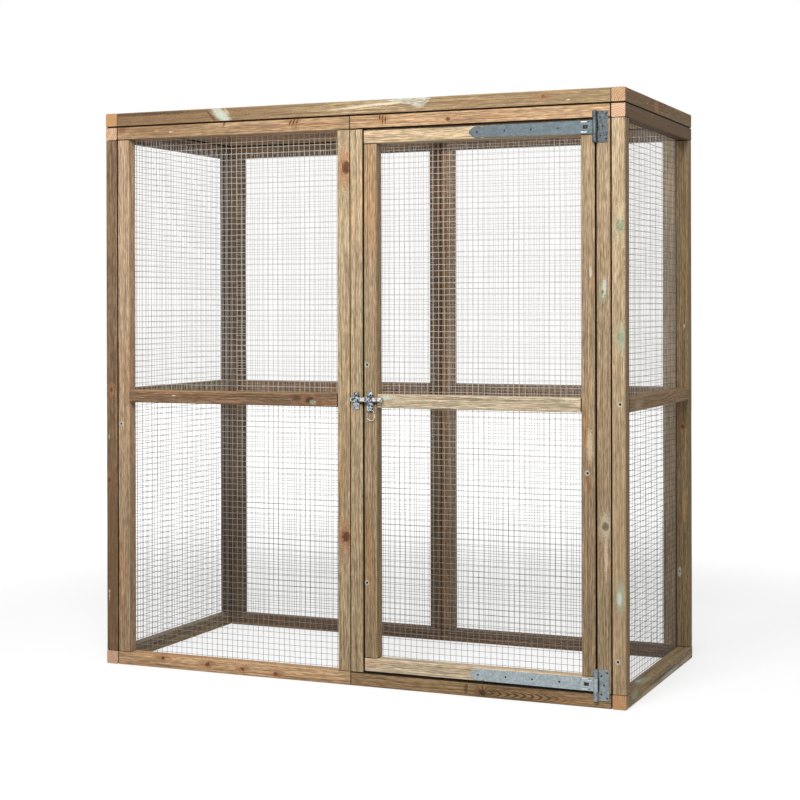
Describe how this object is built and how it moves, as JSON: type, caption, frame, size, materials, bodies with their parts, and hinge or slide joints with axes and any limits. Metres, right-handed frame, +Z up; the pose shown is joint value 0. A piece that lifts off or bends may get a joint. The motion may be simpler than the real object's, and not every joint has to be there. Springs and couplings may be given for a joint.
{
  "type": "bird aviary",
  "caption": "Upright garden aviary of square timber panels with welded wire netting, a netted roof, and a front door on long tee hinges with a sliding bolt.",
  "frame": {"origin": "on the ground, under the middle of the box round the whole aviary, latch included", "axes": "+Z up; the door side faces -Y; +X to the right for someone who faces the door"},
  "size_m": [1.8, 0.8536, 1.8502],
  "materials": {
    "tan_pine": "pressure-treated pine, planed, tan with greenish stains and reddish knots",
    "brown_pine": "pressure-treated pine, planed, weathered darker brown",
    "netting": "galvanised welded wire netting",
    "hinge_steel": "hot-dip galvanised sheet steel",
    "latch_steel": "bright zinc-plated steel"
  },
  "bodies": {
    "cage": {"left_top_rail": "brown_pine", "left_bottom_rail": "brown_pine", "left_front_stile": "brown_pine", "left_back_stile": "brown_pine", "left_mid_rail": "brown_pine", "left_net": "netting", "right_top_rail": "tan_pine", "right_bottom_rail": "tan_pine", "right_front_stile": "tan_pine", "right_back_stile": "tan_pine", "right_mid_rail": "tan_pine", "right_net": "netting", "front_top_rail": "tan_pine", "front_bottom_rail": "tan_pine", "front_left_stile": "tan_pine", "front_right_stile": "tan_pine", "front_mid_rail": "tan_pine", "front_net": "netting", "back_left_top_rail": "brown_pine", "back_left_bottom_rail": "brown_pine", "back_left_inner_stile": "brown_pine", "back_left_outer_stile": "brown_pine", "back_left_mid_rail": "brown_pine", "back_left_net": "netting", "back_right_top_rail": "brown_pine", "back_right_bottom_rail": "brown_pine", "back_right_inner_stile": "brown_pine", "back_right_outer_stile": "brown_pine", "back_right_mid_rail": "brown_pine", "back_right_net": "netting", "door_frame_top_rail": "tan_pine", "door_frame_bottom_rail": "tan_pine", "door_frame_left_stile": "tan_pine", "door_frame_right_stile": "tan_pine", "roof_left_rail": "brown_pine", "roof_right_rail": "brown_pine", "roof_front_rail": "brown_pine", "roof_back_rail": "brown_pine", "roof_mid_rail": "brown_pine", "roof_net": "netting", "top_hinge_plate": "hinge_steel", "top_hinge_pin": "hinge_steel", "bottom_hinge_plate": "hinge_steel", "bottom_hinge_pin": "hinge_steel", "latch_keep": "latch_steel"},
    "door": {"door_top_rail": "tan_pine", "door_bottom_rail": "tan_pine", "door_left_stile": "tan_pine", "door_right_stile": "tan_pine", "door_mid_rail": "tan_pine", "door_net": "netting", "top_hinge_strap": "hinge_steel", "bottom_hinge_strap": "hinge_steel", "latch_guide": "latch_steel"},
    "bolt": {"latch_bolt": "latch_steel", "latch_knob": "latch_steel"},
    "link": {"latch_link": "latch_steel"}
  },
  "joints": [
    {"name": "door_hinge", "type": "hinge", "parent": "cage", "child": "door", "pos_m": [0.8078, -0.41275, 0.9], "axis": [0, 0, 1], "range_deg": [0, 175]},
    {"name": "bolt_slide", "type": "slide", "parent": "door", "child": "bolt", "axis": [1, 0, 0], "range_m": [0, 0.038]},
    {"name": "link_swing", "type": "hinge", "parent": "door", "child": "link", "pos_m": [0.0768, -0.41035, 0.8724], "axis": [-1, 0, 0], "range_deg": [0, 110]}
  ]
}
